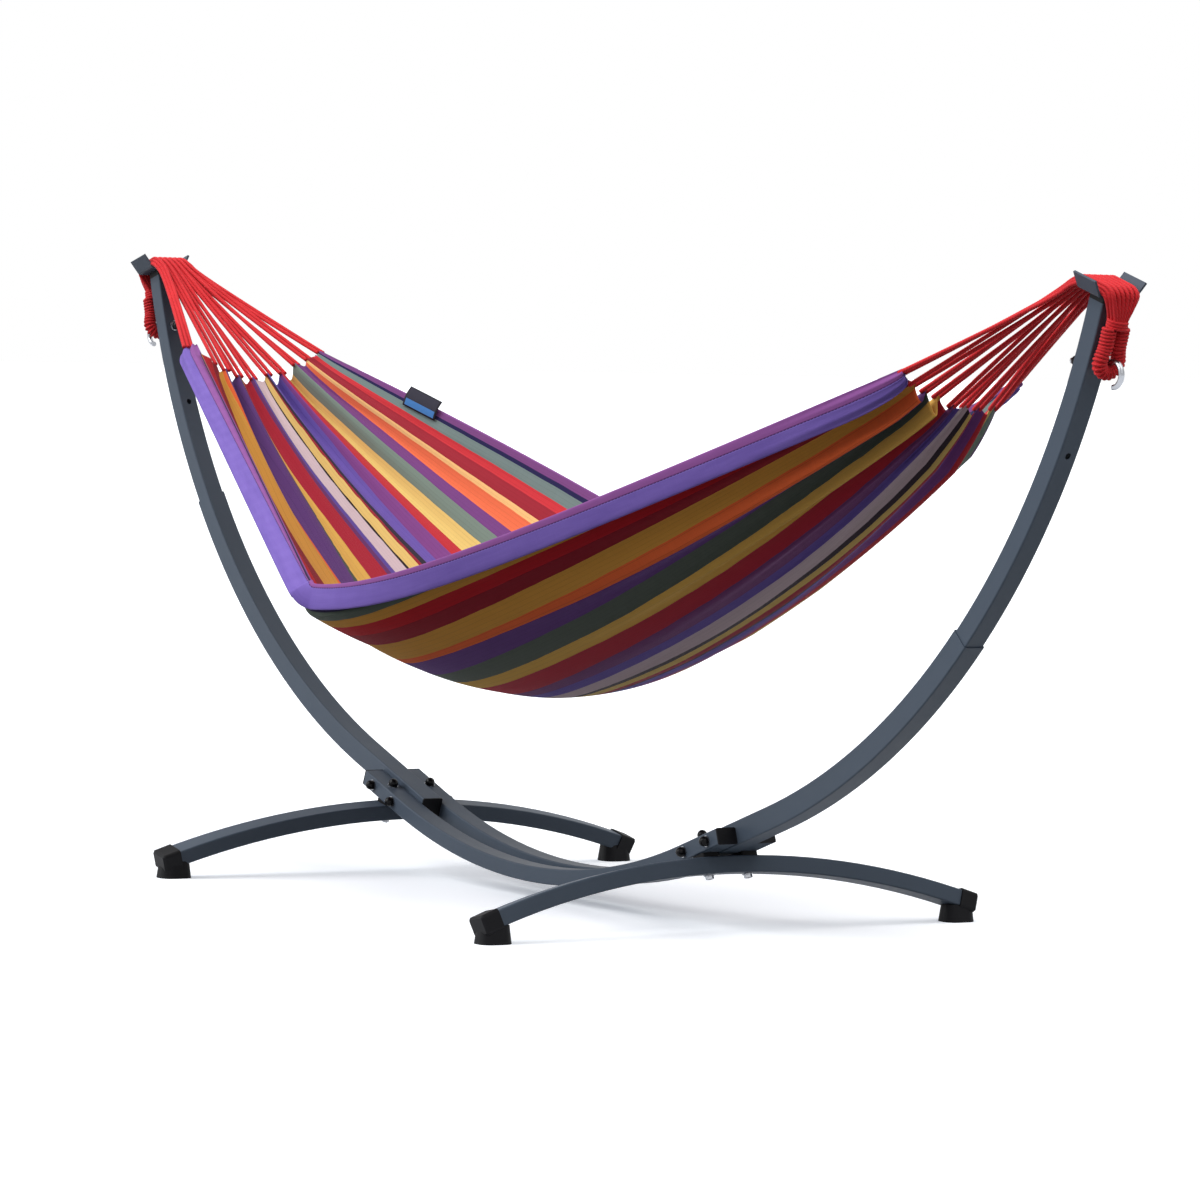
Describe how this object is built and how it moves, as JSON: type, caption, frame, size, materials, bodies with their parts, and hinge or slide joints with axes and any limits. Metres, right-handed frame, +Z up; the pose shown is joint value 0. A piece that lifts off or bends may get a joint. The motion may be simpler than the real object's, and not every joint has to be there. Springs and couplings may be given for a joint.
{
  "type": "hammock on stand",
  "caption": "Striped cloth hammock with fanned cords, hung over saddles and hooks on a curved steel stand with bent rails and arched cross feet.",
  "frame": {"origin": "On the floor, straight below the middle of the stand.", "axes": "+X runs along the hammock to the end nearest the viewer of the picture, +Y runs across it to the far side, +Z is up."},
  "size_m": [3.1914, 1.0888, 1.169],
  "materials": {
    "tube_paint": "satin slate-grey powder coat",
    "saddle_paint": "satin dark slate powder coat",
    "black_plastic": "moulded black, fine grain",
    "black_gloss": "glossy black",
    "bright_steel": "bright zinc plate",
    "dark_steel": "plain zinc plate",
    "red_cord": "twisted red cord",
    "striped_cloth": "woven cotton with many lengthwise coloured stripes",
    "violet_hem": "violet rolled hem"
  },
  "bodies": {
    "stand": {"eye_rope_left": "red_cord", "eye_rope_right": "red_cord", "eye_whipping_left": "red_cord", "eye_whipping_right": "red_cord", "foot_beam_left": "tube_paint", "foot_beam_right": "tube_paint", "foot_bolt_caps": "black_gloss", "foot_bolts": "dark_steel", "foot_cap_left_front": "black_plastic", "foot_cap_left_rear": "black_plastic", "foot_cap_right_front": "black_plastic", "foot_cap_right_rear": "black_plastic", "foot_nuts": "bright_steel", "foot_shims": "black_plastic", "foot_washers": "bright_steel", "hook_caps": "black_gloss", "hook_left": "bright_steel", "hook_nuts": "bright_steel", "hook_right": "bright_steel", "hook_washers": "bright_steel", "joint_bolts": "dark_steel", "joint_caps": "black_gloss", "joint_washers": "bright_steel", "lower_post_left": "tube_paint", "lower_post_right": "tube_paint", "post_foot_plugs": "black_plastic", "post_lock_screws": "dark_steel", "rail_end_plugs": "black_plastic", "rail_front": "tube_paint", "rail_rear": "tube_paint", "saddle_cords_left": "red_cord", "saddle_cords_right": "red_cord", "saddle_left": "saddle_paint", "saddle_right": "saddle_paint", "saddle_screws": "dark_steel", "top_cap_left": "black_plastic", "top_cap_right": "black_plastic", "upper_post_left": "tube_paint", "upper_post_right": "tube_paint"},
    "hammock": {"clew_cords_left": "red_cord", "clew_cords_right": "red_cord", "hammock_cloth": "striped_cloth", "hem_front": "violet_hem", "hem_rear": "violet_hem"}
  },
  "joints": [
    {"name": "hammock_swing", "type": "hinge", "parent": "stand", "child": "hammock", "pos_m": [0, 0, 1.15], "axis": [1, 0, 0], "range_deg": [-40, 40]}
  ]
}
